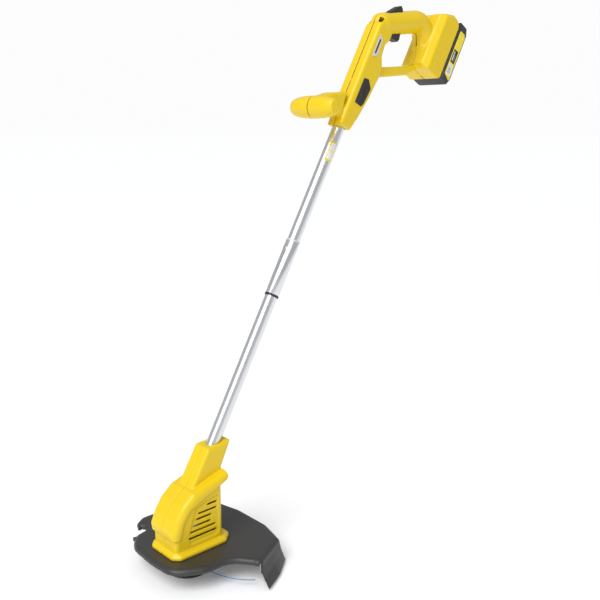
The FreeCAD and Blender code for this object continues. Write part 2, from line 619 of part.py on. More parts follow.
def panel_and_vents():
    """A shallow panel and six slots through each side wall of the casing."""
    tools = []
    for side in (-1, 1):
        panel = padded(f"panel_{'left' if side < 0 else 'right'}", "XZ_Plane",
                       [("-0.36 * case_front", "panel_low"), ("0.72 * case_back", "panel_low"),
                        ("0.84 * case_back", "panel_low + 5"), ("0.84 * case_back", "0.87 * case_top"),
                        ("0.36 * case_back", "0.85 * case_top"), ("-0.10 * case_front", "0.80 * case_top"),
                        ("-0.46 * case_front", "panel_low + 11")], "2 * panel_depth")
        tools.append(place(panel, y=f"{side} * case_side"))
        for i, (start, end) in enumerate(VENTS):
            tools.append(box(f"vent_{side + 1}_{i}", f"{end} - ({start})", "3 * shell_wall", "vent_height",
                             x=start,
                             y=f"{side} * (case_side - 1.5 * shell_wall) - 1.5 * shell_wall",
                             z=f"vent_low + {i} * vent_pitch"))
    return tools


VENTS = [("-0.39 * case_front", "0.73 * case_back"), ("-0.35 * case_front", "0.71 * case_back"),
         ("-0.21 * case_front", "0.50 * case_back"), ("-0.10 * case_front", "0.54 * case_back"),
         ("0.03 * case_back", "0.74 * case_back"), ("0.39 * case_back", "0.77 * case_back")]


def rib_plates():
    """Two level plates inside the casing that hold the motor can."""
    return [box(f"cradle_plate_{i}", "2 * case_back - 4", "2 * case_side - 2", "2", x="-case_front + 1",
                y="-case_side + 1", z=z) for i, z in enumerate(("motor_low + 14", "motor_top - 8"))]


HOUSING_SCREWS = [("-0.80 * case_front", "panel_low - 3"), ("0.80 * case_back", "panel_low - 3"),
                  ("0.80 * case_back", "case_top - 14"), ("-0.30 * case_front", "0.80 * case_top"),
                  ("neck_front + 2.8", "neck_top - 10")]


def boss_bars(owner, places, side):
    """Round bars across the casing that become its screw bosses."""
    return [cylinder(f"{owner}_boss_{i}", "boss_radius", f"2 * {side} - 2", x=x, y=f"{side} - 1", z=z,
                     turn=("x", "90"))
            for i, (x, z) in enumerate(places)]


def bore_bars(owner, places, side):
    """The screw bores through the bosses, open on the right side, with a seat for the screw's head."""
    tools = []
    for i, (x, z) in enumerate(places):
        tools.append(cylinder(f"{owner}_bore_{i}", "screw_radius + fit_gap", f"{side} + 14", x=x,
                              y=f"{side} + 2", z=z,
                              turn=("x", "90")))
        tools.append(cylinder(f"{owner}_head_seat_{i}", "screw_head + 0.3", f"{side}", x=x, y=f"{side} + 9",
                              z=z,
                              turn=("x", "90")))
    return tools


def cross_screws(label, places, side, shaft=False):
    """Equal screws that close two halves, put in from the right side."""
    screws = []
    for i, (x, z) in enumerate(places):
        shank = cylinder(f"{label}_shank_{i}", "screw_radius", "18", x=x, y="9", z=z, turn=("x", "90"))
        cap = cylinder(f"{label}_head_{i}", "screw_head", "screw_head_height", x=x,
                       y="9 + screw_head_height", z=z,
                       turn=("x", "90"))
        screws.append(fuse(f"{label}_{i}", shank, cap))
    item = group(label, *screws)
    node(on_shaft(item) if shaft else item, label)


# ---------------------------------------------------------------- motor

def motor():
    """A brushed motor: can, magnets, end bracket with bearings and brushes, rotor, cooling fan."""
    node(turned("motor_can", [("motor_radius - can_wall", "motor_low"), ("motor_radius", "motor_low"),
                              ("motor_radius", "motor_top"), ("bearing_radius", "motor_top"),
                              ("bearing_radius", "motor_top - can_wall"),
                              ("motor_radius - can_wall", "motor_top - can_wall")]), "motor_can")
    node(turned("motor_end_bracket", [("bearing_radius", "motor_low - bracket_height"),
                                      ("motor_radius", "motor_low - bracket_height"),
                                      ("motor_radius", "motor_low"),
                                      ("bearing_radius", "motor_low")]), "motor_end_bracket")
    for label, z in (("lower_bearing", "motor_low - bracket_height"),
                     ("upper_bearing", "motor_top - can_wall")):
        node(turned(label, [("shaft_radius + fit_gap / 2", z), ("bearing_radius", z),
                            ("bearing_radius", f"{z} + bearing_width"),
                            ("shaft_radius + fit_gap / 2", f"{z} + bearing_width")]), label)
    node(cylinder("motor_shaft", "shaft_radius", "shaft_top - shaft_low", z="shaft_low"), "motor_shaft")
    node(turned("motor_rotor", [("shaft_radius", "rotor_low - 2"), ("0.7 * rotor_radius", "rotor_low - 2"),
                                ("rotor_radius", "rotor_low + 2"), ("rotor_radius", "rotor_top - 2"),
                                ("0.7 * rotor_radius", "rotor_top + 2"), ("shaft_radius", "rotor_top + 2")]),
         "motor_rotor")
    node(turned("commutator", [("shaft_radius", "motor_top - can_wall - commutator_height - 2"),
                               ("commutator_radius", "motor_top - can_wall - commutator_height - 2"),
                               ("commutator_radius", "motor_top - can_wall - 2"),
                               ("shaft_radius", "motor_top - can_wall - 2")]), "commutator")
    arcs = turned("magnet_ring", [("motor_radius - can_wall - magnet_thickness", "rotor_low"),
                                  ("motor_radius - can_wall", "rotor_low"),
                                  ("motor_radius - can_wall", "rotor_top"),
                                  ("motor_radius - can_wall - magnet_thickness", "rotor_top")])
    gap = box("magnet_gap", "10", "3 * motor_radius", "motor_top", x="-5", y="-1.5 * motor_radius")
    node(cut("motor_magnets", arcs, gap), "motor_magnets")
    brushes = [box(f"brush_{i}", "motor_radius - can_wall - commutator_radius - 2 * seat_gap", "brush_width",
                   "commutator_height - 1", x=x, y="-brush_width / 2",
                   z="motor_top - can_wall - commutator_height - 1.5")
               for i, x in enumerate(("commutator_radius + seat_gap", "seat_gap - motor_radius + can_wall"))]
    node(group("motor_brushes", *brushes), "motor_brushes")
    disc = turned("fan_disc_turned", [("shaft_radius", "fan_low"), ("fan_radius", "fan_low"),
                                      ("fan_radius", "fan_low + fan_disc"), ("6", "fan_low + fan_disc"),
                                      ("6", "fan_low + fan_height"),
                                      ("shaft_radius", "fan_low + fan_height")])
    blades = []
    for i in range(int(size("fan_blades"))):
        blades.append(box(f"fan_blade_{i}", "fan_radius - 6", "1.2", "fan_height - fan_disc",
                          x=f"5.5 * cos({i} * 360 / fan_blades)", y=f"5.5 * sin({i} * 360 / fan_blades)",
                          z="fan_low + fan_disc", turn=("z", f"{i} * 360 / fan_blades + 8")))
    node(fuse("cooling_fan", disc, *blades), "cooling_fan")


# ---------------------------------------------------------------- handle

def grip_points():
    """The grip's centre line: up from the barrel, over the bend and down into the battery dock."""
    start = Vector(size("grip_start_p"), 0, size("grip_start_l"))
    end = Vector(size("grip_end_p"), 0, size("grip_end_l"))
    rise, fall = math.radians(size("grip_rise")), math.radians(size("grip_fall"))
    up, down = Vector(math.cos(rise), 0, math.sin(rise)), Vector(math.cos(fall), 0, math.sin(fall))
    gap = end - start
    reach = (gap.x * down.z - gap.z * down.x) / (up.x * down.z - up.z * down.x)
    return [start, start + up * reach, end]


def front_bar(name, grow):
    """The crosswise front handle: a long rounded bar with flat ends, narrower towards both ends."""
    rings = []
    for share, deep, tall in ((-1, 0.55, 0.62), (-0.7, 0.86, 0.88), (-0.2, 1, 1), (0.2, 1, 1),
                              (0.7, 0.86, 0.88), (1, 0.55, 0.62)):
        across = size("front_bar_half") * share + (grow if share < 0 else -grow)
        centre = Vector(size("front_bar_x"), across, size("front_bar_z"))
        major, minor = size("front_bar_tall") * tall - grow, size("front_bar_deep") * deep - grow
        oval = Part.Ellipse(centre + Vector(0, 0, major), centre + Vector(-minor, 0, 0), centre)
        rings.append(Part.Wire(oval.toShape()))
    item = doc.addObject("Part::Feature", name)
    item.Shape = Part.makeLoft(rings, True, False)
    return item


def handle():
    """The yellow handle in two halves: barrel, front bar, round grip, battery dock and lower rib."""
    barrel = on_shaft(padded("barrel", "XZ_Plane",
                             [("-barrel_front + 2", "handle_low"), ("-barrel_front", "handle_low + 31"),
                              ("-barrel_front", "handle_top - 30"),
                              ("-0.6 * barrel_front", "handle_top - 13"),
                              ("4", "handle_top"), ("24", "handle_top + 5"), ("24", "handle_top - 40"),
                              ("17", "handle_top - 55"), ("20", "handle_top - 77"), ("33", "handle_top - 95"),
                              ("33", "handle_low + 123"), ("31", "handle_low + 108"),
                              ("28.5", "handle_low + 80"),
                              ("20", "handle_low + 30"), ("13", "handle_low + 4")],
                             "2 * handle_side", ("handle_round", on_sides)))
    bend = pipe("grip_bar", grip_points(), [size("grip_bend")], size("grip_radius"))
    heel = doc.addObject("Part::Sphere", "grip_heel")
    heel.setExpression("Radius", bound("grip_radius"))
    place(heel, x="grip_start_p", z="grip_start_l")
    grip = on_shaft(fuse("grip", bend, heel))
    dock_body = padded("dock", "XZ_Plane",
                       [("dock_front + 8", "dock_low"), ("dock_back - 5", "dock_low"),
                        ("dock_back", "dock_low + 5"),
                        ("dock_back", "dock_top"), ("dock_back - 9", "dock_top + 5"),
                        ("dock_back - 23", "dock_top + 6"),
                        ("dock_front", "dock_top - 10"), ("dock_front", "dock_low + 6")],
                       "2 * dock_side")
    rounded(dock_body, "dock_chamfer", dock_front_edges, "Chamfer")
    dock = on_shaft(rounded(dock_body, "dock_round", dock_top_edges))
    rib = on_shaft(padded("lower_rib", "XZ_Plane",
                          [("28", "handle_low + 120"), ("34", "handle_low + 146"),
                           ("dock_front + 3", "dock_low + 2"),
                           ("dock_front + 12", "dock_low + 0.5"), ("dock_front - 10", "dock_low - 27")],
                          "2 * rib_side", ("3", on_sides)))
    bar = front_bar("front_bar", 0)
    neck = padded("bar_neck", "XZ_Plane",
                  [("front_bar_x - 2", "front_bar_z + 0.85 * front_bar_tall"),
                   ("front_bar_x - 2", "front_bar_z - 0.8 * front_bar_tall"),
                   ("front_bar_x + 56", "front_bar_z - 0.8 * front_bar_tall + 2"),
                   ("front_bar_x + 70", "front_bar_z + front_bar_tall + 8"),
                   ("front_bar_x + 34", "front_bar_z + front_bar_tall + 6")],
                  "2 * neck_bar_side", ("6", on_sides))
    collar = on_shaft(collar_ring())
    outer = fuse("handle_outer", barrel, grip, dock, rib, bar, neck, collar)
    rooms = [on_shaft(box("barrel_room", "barrel_front - shell_wall + 18", "2 * (handle_side - shell_wall)",
                          "tube_top - handle_low - 22", x="-barrel_front + shell_wall",
                          y="-handle_side + shell_wall",
                          z="handle_low + 20")),
             on_shaft(box("board_room", "barrel_front - shell_wall + 13", "2 * (handle_side - shell_wall)",
                          "handle_top - tube_top - 17", x="-barrel_front + shell_wall",
                          y="-handle_side + shell_wall",
                          z="tube_top + 2")),
             on_shaft(pipe("grip_room", grip_points(), [size("grip_bend")],
                           size("grip_radius") - size("shell_wall"))),
             on_shaft(box("dock_room", "rail_front - dock_front - 2 * shell_wall - 3", "dock_side",
                          "dock_top - dock_low - 26", x="dock_front + shell_wall + 3", y="-dock_side / 2",
                          z="dock_low + 8")),
             on_shaft(box("pack_room", "dock_back - rail_front + 3", "2 * (rail_side + seat_gap)",
                          "dock_top - pack_low + 9",
                          x="rail_front - seat_gap", y="-rail_side - seat_gap", z="pack_low - seat_gap")),
             on_shaft(box("terminal_room", "12", "30", "pack_low - dock_low - shell_wall + 1",
                          x="rail_front", y="-15",
                          z="dock_low + shell_wall")),
             on_shaft(cylinder("barrel_bore", "tube_radius + fit_gap", "tube_top - handle_low + 2",
                               z="handle_low - 1")),
             on_shaft(cylinder("cable_bore", "cable_radius + fit_gap", "8", x="cable_aside",
                               z="tube_top - 2")),
             on_shaft(trigger_room()), on_shaft(lock_room()), front_bar("front_bar_room", size("shell_wall"))]
    posts = [on_shaft(bar_piece) for bar_piece in boss_bars("handle", HANDLE_SCREWS, "handle_side")]
    shell = cut("handle_shell", outer, *rooms, *side_recesses())
    solid = fuse("handle_solid", shell, common("handle_posts", fuse("handle_post_bars", *posts), outer))
    keep_clear = [on_shaft(tool) for tool in bore_bars("handle", HANDLE_SCREWS, "handle_side")]
    keep_clear.append(on_shaft(pin_bar("pin_seats", "pin_radius + fit_gap / 2")))
    halves(cut("handle_whole", solid, *keep_clear), "handle_shell")


HANDLE_SCREWS = [("15", "handle_low + 52"), ("-6", "tube_top + 12"), ("14", "tube_top + 36"),
                 ("-6", "handle_top - 34"),
                 ("dock_front + 16", "dock_low + 13"), ("dock_front + 22", "dock_top - 9")]


def dock_front_edges(edge):
    """The dock's two long front corner edges."""
    bounds = edge.BoundBox
    dock_height = size("dock_top") - size("dock_low")
    return bounds.XMax < size("dock_front") + 0.1 and bounds.ZLength > dock_height - 30


def dock_top_edges(edge):
    """The edges between the dock's level top and its two sides."""
    bounds = edge.BoundBox
    return (bounds.YLength < 1e-6 and abs(bounds.YMax) > size("dock_side") - 0.1
            and bounds.ZMin > size("dock_top") - 20 and bounds.ZMax > size("dock_top") + 1)


def collar_ring():
    """The raised collar where the grip enters the dock."""
    points = grip_points()
    down = (points[2] - points[1]).normalize()
    item = doc.addObject("Part::Feature", "grip_collar")
    foot = points[2] - down * (size("collar_length") - 6)
    item.Shape = Part.makeCylinder(size("collar_radius"), size("collar_length"), foot, down)
    return item


def grip_frame():
    """Start, direction along the grip and direction out of its lower side, in the shaft's frame."""
    start, corner = grip_points()[:2]
    run = (corner - start).normalize()
    return start, run, Vector(run.z, 0, -run.x)


def grip_prism(name, points, width):
    """A plate across Y whose outline is given along the grip and square to it."""
    start, run, out = grip_frame()
    near = Vector(0, -width / 2, 0)
    corners = [start + run * u + out * v + near for u, v in points]
    item = doc.addObject("Part::Feature", name)
    item.Shape = Part.Face(Part.makePolygon(corners + corners[:1])).extrude(Vector(0, width, 0))
    return item


def pin_bar(name, radius):
    """A round bar on the trigger's pivot axis, across the grip."""
    start, run, out = grip_frame()
    middle = start + run * (size("trigger_to") - size("pin_inset")) + out * size("pin_out")
    return cylinder(name, radius, "2 * pin_reach", x=f"{middle.x}", y="pin_reach", z=f"{middle.z}",
                    turn=("x", "90"))


def trigger_outline():
    low, high, deep = size("trigger_from"), size("trigger_to"), size("trigger_depth")
    return [(low, 8), (high, 8), (high, 0.62 * deep), (high - 3, deep - 4), (high - 9, deep),
            (low + 11, deep - 5),
            (low, 0.72 * deep)]


def trigger_room():
    """The slot in the grip's lower side that the trigger moves in."""
    low, high, deep = size("trigger_from"), size("trigger_to"), size("trigger_depth")
    return grip_prism("trigger_room", [(low - 2, -1), (high + 2, -1), (high + 2, deep), (low - 2, deep)],
                      size("trigger_width") + 2 * size("seat_gap"))


def lock_outline():
    low, high = size("lock_from"), size("lock_to")
    top = -size("grip_radius")
    return [(low, top + 9), (high, top + 9), (high, top - 3), (high - 3, top - size("lock_rise")),
            (high - 7, top - size("lock_rise") + 0.5), (low + 3, top), (low, top + 2)]


def lock_room():
    low, high = size("lock_from"), size("lock_to")
    top = -size("grip_radius")
    return grip_prism("lock_room",
                      [(low - 6, top + 12), (high + 1, top + 12), (high + 1, top - 6), (low - 2.2, top - 6),
                       (low - 2.2, top + 0.2), (low - 6, top + 1.6)],
                      size("lock_width") + 2 * size("seat_gap"))


def controls():
    """The trigger with its pin and spring, the lock-off slider with its spring, and the switch they work."""
    start, run, out = grip_frame()
    trigger = grip_prism("trigger_plate", trigger_outline(), size("trigger_width"))
    node(on_shaft(cut("trigger", trigger, pin_bar("trigger_pin_hole", "pin_radius + fit_gap"))), "trigger")
    node(on_shaft(pin_bar("trigger_pin", "pin_radius")), "trigger_pin")
    node(on_shaft(grip_prism("lock_button", lock_outline(), size("lock_width"))), "lock_button")
    low, high = size("trigger_from"), size("trigger_to")
    node(on_shaft(grip_prism("switch_module", [(low + 2, -7), (high - 6, -7), (high - 6, 4), (low + 2, 4)],
                             15)),
         "switch_module")
    coil_spring("trigger_spring", start + run * (low + 7) + out * 4.5, out, 2.6, 3.0)
    coil_spring("lock_spring", start + run * (size("lock_from") - 5.6) - out * (size("grip_radius") - 6),
                run, 2.2, 5.2)


def coil_spring(label, foot, way, radius, rise):
    """A small coil spring standing on a point in the shaft's frame."""
    coil = Part.makeHelix(rise / 3, rise, radius)
    ring = Part.Wire(Part.Circle(Vector(radius, 0, 0), Vector(0, 1, 0), 0.35).toShape())
    item = doc.addObject("Part::Feature", label)
    solid = Part.Wire(coil).makePipeShell([ring], True, True)
    solid.Placement = FreeCAD.Placement(foot, FreeCAD.Rotation(Vector(0, 0, 1), way))
    item.Shape = Part.makeCompound([solid]).Solids[0] if solid.Solids else solid
    lean = FreeCAD.Placement(Vector(0, 0, size("cross_height")),
                             FreeCAD.Rotation(AXES["y"], size("lean_angle")))
    item.Placement = lean.multiply(solid.Placement)
    node(item, label)


def side_recesses():
    """Shallow seats on both sides of the barrel for the black inserts and the plain plates."""
    tools = []
    for side in (-1, 1):
        for name, points, depth in (("insert", INSERT, "insert_depth"), ("plate", PLATE, "plate_thickness")):
            seat = padded(f"{name}_seat_{side + 1}", "XZ_Plane", points, f"2 * {depth}")
            tools.append(on_shaft_side(seat, side))
    return tools


def on_shaft_side(item, side):
    """Puts a piece padded across the shaft's frame onto one side face of the barrel."""
    on_shaft(item)
    item.setExpression("Placement.Base.y", bound(f"{side} * handle_side"))
    return item


INSERT = [("-3", "handle_low + 52"), ("14", "handle_low + 53"), ("17.5", "handle_low + 60"),
          ("20.5", "handle_low + 92"),
          ("8", "handle_low + 104"), ("-3", "handle_low + 100")]
PLATE = [("-6", "handle_top - 92"), ("7", "handle_top - 84"), ("5", "handle_top - 52"),
         ("-7", "handle_top - 46")]


def side_trim():
    """A black ribbed insert and a plain plate let into each side of the barrel."""
    for side, word in ((-1, "left"), (1, "right")):
        pad = padded(f"insert_{word}", "XZ_Plane", INSERT, "2 * insert_depth")
        ribs = [box(f"insert_rib_{word}_{i}", "14", "2 * insert_depth + 1.6", "2.2", x="-1",
                    y="-insert_depth - 0.8",
                    z=f"handle_low + 60 + {i * 6}") for i in range(6)]
        whole = fuse(f"insert_whole_{word}", pad, *ribs)
        room = box(f"insert_room_{word}", "60", "insert_depth + 0.8", "200", x="-20",
                   y="-insert_depth" if side > 0 else "-0.8", z="handle_low")
        node(on_shaft_side(common(f"side_insert_{word}", whole, room), side), f"side_insert_{word}")
        plate = padded(f"plate_{word}", "XZ_Plane", PLATE, "2 * plate_thickness")
        room = box(f"plate_room_{word}", "60", "plate_thickness + 0.4", "300", x="-20",
                   y="-plate_thickness" if side > 0 else "-0.4", z="handle_low")
        node(on_shaft_side(common(f"badge_plate_{word}", plate, room), side), f"badge_plate_{word}")


def electrics():
    """Control board in the barrel, terminal block with blades in the dock, and the cable down the tube."""
    board = box("board_plate", "board_thickness", "2 * (handle_side - shell_wall - seat_gap)", "board_length",
                x="cable_aside", y="-(handle_side - shell_wall - seat_gap)", z="cable_top + seat_gap")
    node(on_shaft(board), "control_board")
    node(on_shaft(box("terminal_block", "11", "28", "pack_low - dock_low - shell_wall - seat_gap",
                      x="rail_front + 0.5",
                      y="-14", z="dock_low + shell_wall")), "terminal_block")
    blades = [box(f"contact_blade_{i}", "6", "0.8", "9", x="rail_front + 3", y=f"{y}",
                  z="pack_low - seat_gap")
              for i, y in enumerate((-9, -3, 3, 9))]
    node(on_shaft(group("contact_blades", *blades)), "contact_blades")
    cable = cylinder("cable_run", "cable_radius", "cable_top - cable_foot", x="cable_aside", z="cable_foot")
    node(on_shaft(cable), "wiring_cable")


# ---------------------------------------------------------------- battery

def battery():
    """The slide-off battery pack: case, rail cover, cells, circuit board, release button and side labels."""
    case_body = padded("case_block", "XZ_Plane",
                       [("dock_back + seat_gap", "pack_low"), ("pack_back - 5", "pack_low"),
                        ("pack_back", "pack_low + 12"),
                        ("pack_back", "pack_top - 12"), ("pack_back - 6", "pack_top"),
                        ("dock_back + seat_gap", "pack_top")],
                       "2 * pack_side", ("pack_round", on_far_sides))
    hollow = box("case_hollow", "pack_back - dock_back - pack_wall + 1", "2 * (pack_side - pack_wall)",
                 "pack_top - pack_low - 2 * pack_wall - 6", x="dock_back - 1", y="-pack_side + pack_wall",
                 z="pack_low + pack_wall + 3")
    node(on_shaft(cut("battery_case", case_body, hollow, *label_seats())), "battery_case")
    rail = box("rail_block", "dock_back - rail_front + seat_gap", "2 * rail_side", "pack_top - pack_low",
               x="rail_front",
               y="-rail_side", z="pack_low")
    lid = box("rail_lid", "pack_wall", "2 * (pack_side - pack_wall) - 0.1",
              "pack_top - pack_low - 2 * pack_wall - 6.1",
              x="dock_back + seat_gap", y="-pack_side + pack_wall + 0.05", z="pack_low + pack_wall + 3.05")
    room = box("rail_hollow", "dock_back - rail_front - pack_wall + 4", "2 * (rail_side - pack_wall)",
               "pack_top - pack_low - 44", x="rail_front + pack_wall", y="-rail_side + pack_wall",
               z="pack_low + 16")
    slots = [box(f"blade_slot_{i}", "9", "2.4", "11", x="rail_front - 1 + 3", y=f"{y} - 0.8",
                 z="pack_low - 1")
             for i, y in enumerate((-9, -3, 3, 9))]
    seat = box("release_seat", "10", "24.6", "20", x="rail_front - 1", y="-12.3", z="pack_top - 19")
    node(on_shaft(cut("battery_cover", fuse("cover_solid", rail, lid), room, seat, *slots)), "battery_cover")
    cells = [cylinder(f"cell_{i}", "cell_radius", "cell_length",
                      x="dock_back + pack_wall + cell_radius + 0.4",
                      y="cell_length / 2", z=f"pack_low + 21 + {i} * (2 * cell_radius + 0.3)",
                      turn=("x", "90"))
             for i in range(int(size("cell_count")))]
    node(on_shaft(group("battery_cells", *cells)), "battery_cells")
    node(on_shaft(box("battery_board", "1.6", "40", "70", x="rail_front + pack_wall + seat_gap", y="-20",
                      z="pack_low + 20")),
         "battery_board")
    node(on_shaft(box("release_button", "6", "24", "15", x="rail_front - 0.2 + 0.5", y="-12",
                      z="pack_top - 15.5")),
         "release_button")
    for side, word in ((-1, "left"), (1, "right")):
        strip = padded(f"strip_{word}", "XZ_Plane", STRIP, "2 * label_depth")
        room = box(f"strip_room_{word}", "80", "label_depth", "400", x="dock_back",
                   y="-label_depth" if side > 0 else "0",
                   z="pack_low")
        item = on_shaft(common(f"battery_label_{word}", strip, room))
        item.setExpression("Placement.Base.y", bound(f"{side} * pack_side"))
        node(item, f"battery_label_{word}")


STRIP = [("dock_back + 7", "pack_low + 14"), ("pack_back - 7", "pack_low + 7"),
         ("pack_back - 5", "pack_low + 11"),
         ("pack_back - 5", "pack_top - 19"), ("pack_back - 9", "pack_top - 13"),
         ("dock_back + 9", "pack_top - 13"),
         ("dock_back + 7", "pack_top - 16")]


def on_far_sides(edge):
    """The pack's side edges away from the dock."""
    return on_sides(edge) and edge.BoundBox.XMin > size("dock_back") + 1


def label_seats():
    seats = []
    for side in (-1, 1):
        seat = padded(f"strip_seat_{side + 1}", "XZ_Plane", STRIP, "2 * label_depth")
        seats.append(place(seat, y=f"{side} * pack_side"))
    return seats


def write_parts():
    """Recomputes, checks every object and writes each sub-part to its own file."""
    doc.recompute()
    for item in doc.Objects:
        if "Invalid" in item.State or "Error" in item.State:
            raise RuntimeError(f"{item.Label} failed: {item.State}")
    os.makedirs("parts", exist_ok=True)
    for item in NODES:
        if item.Shape.isNull() or not item.Shape.isValid():
            raise RuntimeError(f"{item.Label} has no valid shape")
        item.Shape.exportStep(f"parts/{item.Label}.step")
        bounds = item.Shape.BoundBox
        print(f"{item.Label:24s} solids {len(item.Shape.Solids)}  volume {item.Shape.Volume:10.1f}  "
              f"x {bounds.XMin:7.1f} {bounds.XMax:7.1f}  y {bounds.YMin:7.1f} {bounds.YMax:7.1f}  "
              f"z {bounds.ZMin:7.1f} {bounds.ZMax:7.1f}")


tubes()
snap_button()
head()
guard()
guard_screws()
housing()
cross_screws("housing_screws", HOUSING_SCREWS, "case_side")
motor()
handle()
cross_screws("handle_screws", HANDLE_SCREWS, "handle_side", shaft=True)
controls()
side_trim()
electrics()
battery()
write_parts()
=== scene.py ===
"""String trimmer: softened shells, shiny tubes, labels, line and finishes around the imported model."""
import json
import math
import bmesh
import bpy
from mathutils import Matrix, Vector


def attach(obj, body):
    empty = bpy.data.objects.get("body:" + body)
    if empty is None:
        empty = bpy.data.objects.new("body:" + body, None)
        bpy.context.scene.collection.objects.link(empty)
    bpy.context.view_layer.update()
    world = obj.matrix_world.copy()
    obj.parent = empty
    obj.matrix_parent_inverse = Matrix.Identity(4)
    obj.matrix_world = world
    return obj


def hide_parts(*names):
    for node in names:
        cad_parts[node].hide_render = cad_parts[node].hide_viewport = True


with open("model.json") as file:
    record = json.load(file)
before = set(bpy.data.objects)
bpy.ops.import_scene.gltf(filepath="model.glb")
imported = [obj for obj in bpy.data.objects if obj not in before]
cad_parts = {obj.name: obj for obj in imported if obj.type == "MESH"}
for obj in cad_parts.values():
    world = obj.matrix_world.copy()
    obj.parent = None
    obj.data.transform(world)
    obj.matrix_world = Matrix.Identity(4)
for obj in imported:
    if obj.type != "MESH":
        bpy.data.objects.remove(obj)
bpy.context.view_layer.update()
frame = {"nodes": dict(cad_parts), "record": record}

MM = 0.001
LEAN = math.radians(29.65)
SHAFT_FOOT = Vector((0, 0, 0.109))    # where the shaft's line meets the head's axis
SHAFT = Matrix.Translation(SHAFT_FOOT) @ Matrix.Rotation(LEAN, 4, "Y")
SIDES = ((-1, "left"), (1, "right"))    # the user's left is the side towards -Y


def on_shaft(across, along, side=0.0):
    """A point given in millimetres in the shaft's frame."""
    return SHAFT @ Vector((across * MM, side * MM, along * MM))


# ---------------------------------------------------------------- camera, light and floor

LENS = 47.65
CAMERA_PLACE = (-0.690, -1.020, 0.735)
CAMERA_LOOK = Vector((0.6643, 0.7151, -0.2174))
SUN_LOOK = Vector((0.75, 0.30, -1.0))
SUN_STRENGTH = 1.9
SUN_SPREAD = math.radians(40)
PANEL_PLACE = Vector((-2.2, -0.6, 1.9))
PANEL_TARGET = Vector((0.3, 0, 0.5))
PANEL_SIDE = 1.6
PANEL_WATTS = 14
SKY_SEEN = ((1, 1, 1), 0.98)
SKY_LIGHT = ((0.96, 0.97, 1), 0.50)
FLOOR_RADIUS = 50
FLOOR_DROP = 0.0004
FLOOR_COLOUR = (0.93, 0.93, 0.93, 1)
FLOOR_GLOW = 0.13


def aim(name, data, place, look):
    """A camera or lamp put in the scene at its place, looking along a direction."""
    item = bpy.data.objects.new(name, data)
    bpy.context.scene.collection.objects.link(item)
    item.location = place
    item.rotation_mode = "QUATERNION"
    item.rotation_quaternion = look.to_track_quat("-Z", "Y")
    return item


def camera():
    data = bpy.data.cameras.new("camera")
    data.sensor_width = 36
    data.lens = LENS
    data.clip_end = 120
    bpy.context.scene.camera = aim("camera", data, CAMERA_PLACE, CAMERA_LOOK)


def lamps():
    """A broad soft sun from the -X side and above, and a panel that lifts the same faces."""
    sun = bpy.data.lights.new("soft_sun", "SUN")
    sun.energy = SUN_STRENGTH
    sun.angle = SUN_SPREAD
    aim("soft_sun", sun, (0, 0, 0), SUN_LOOK)
    panel = bpy.data.lights.new("key_panel", "AREA")
    panel.shape = "RECTANGLE"
    panel.size = panel.size_y = PANEL_SIDE
    panel.energy = PANEL_WATTS
    aim("key_panel", panel, PANEL_PLACE, PANEL_TARGET - PANEL_PLACE)


def sky():
    """An even pale surround: one strength where it is seen, a lower one where it lights the object."""
    world = bpy.data.worlds.new("studio")
    bpy.context.scene.world = world
    world.use_nodes = True
    nodes, links = world.node_tree.nodes, world.node_tree.links
    nodes.clear()
    out = nodes.new("ShaderNodeOutputWorld")
    mix = nodes.new("ShaderNodeMixShader")
    links.new(nodes.new("ShaderNodeLightPath").outputs["Is Camera Ray"], mix.inputs["Fac"])
    for socket, (colour, strength) in ((mix.inputs[1], SKY_LIGHT), (mix.inputs[2], SKY_SEEN)):
        shade = nodes.new("ShaderNodeBackground")
        shade.inputs["Color"].default_value = (*colour, 1)
        shade.inputs["Strength"].default_value = strength
        links.new(shade.outputs[0], socket)
    links.new(mix.outputs[0], out.inputs["Surface"])


def floor():
    bm = bmesh.new()
    bmesh.ops.create_circle(bm, cap_ends=True, segments=96, radius=FLOOR_RADIUS)
    bmesh.ops.translate(bm, verts=bm.verts, vec=(0, 0, -FLOOR_DROP))
    mesh = bpy.data.meshes.new("floor")
    bm.to_mesh(mesh)
    bm.free()
    item = bpy.data.objects.new("floor", mesh)
    bpy.context.scene.collection.objects.link(item)
    pale = bpy.data.materials.new("floor_pale")
    pale.use_nodes = True
    shader = pale.node_tree.nodes["Principled BSDF"]
    shader.inputs["Base Color"].default_value = FLOOR_COLOUR
    shader.inputs["Roughness"].default_value = 0.9
    shader.inputs["Emission Color"].default_value = (1, 1, 1, 1)
    shader.inputs["Emission Strength"].default_value = FLOOR_GLOW
    mesh.materials.append(pale)


def studio():
    camera()
    lamps()
    sky()
    floor()
    bpy.context.scene.view_settings.view_transform = "Standard"


studio()


# ---------------------------------------------------------------- shared effects

def effect(name, numbers, outputs):
    """An empty node group with number inputs (name: start value) and outputs (name: socket type)."""
    tree = bpy.data.node_groups.new(name, "ShaderNodeTree")
    for label, value in numbers.items():
        made = tree.interface.new_socket(label, in_out="INPUT", socket_type="NodeSocketFloat")
        made.default_value = value
    for label, kind in outputs.items():
        tree.interface.new_socket(label, in_out="OUTPUT", socket_type=kind)
    return tree, tree.nodes.new("NodeGroupInput"), tree.nodes.new("NodeGroupOutput")


def object_position(tree):
    return tree.nodes.new("ShaderNodeTexCoord").outputs["Object"]


def maths(tree, kind, first, second):
    """Two numbers or sockets combined by a Math node."""
    node = tree.nodes.new("ShaderNodeMath")
    node.operation = kind
    for socket, value in zip(node.inputs, (first, second)):
        if isinstance(value, (int, float)):
            socket.default_value = value
        else:
            tree.links.new(value, socket)
    return node.outputs[0]


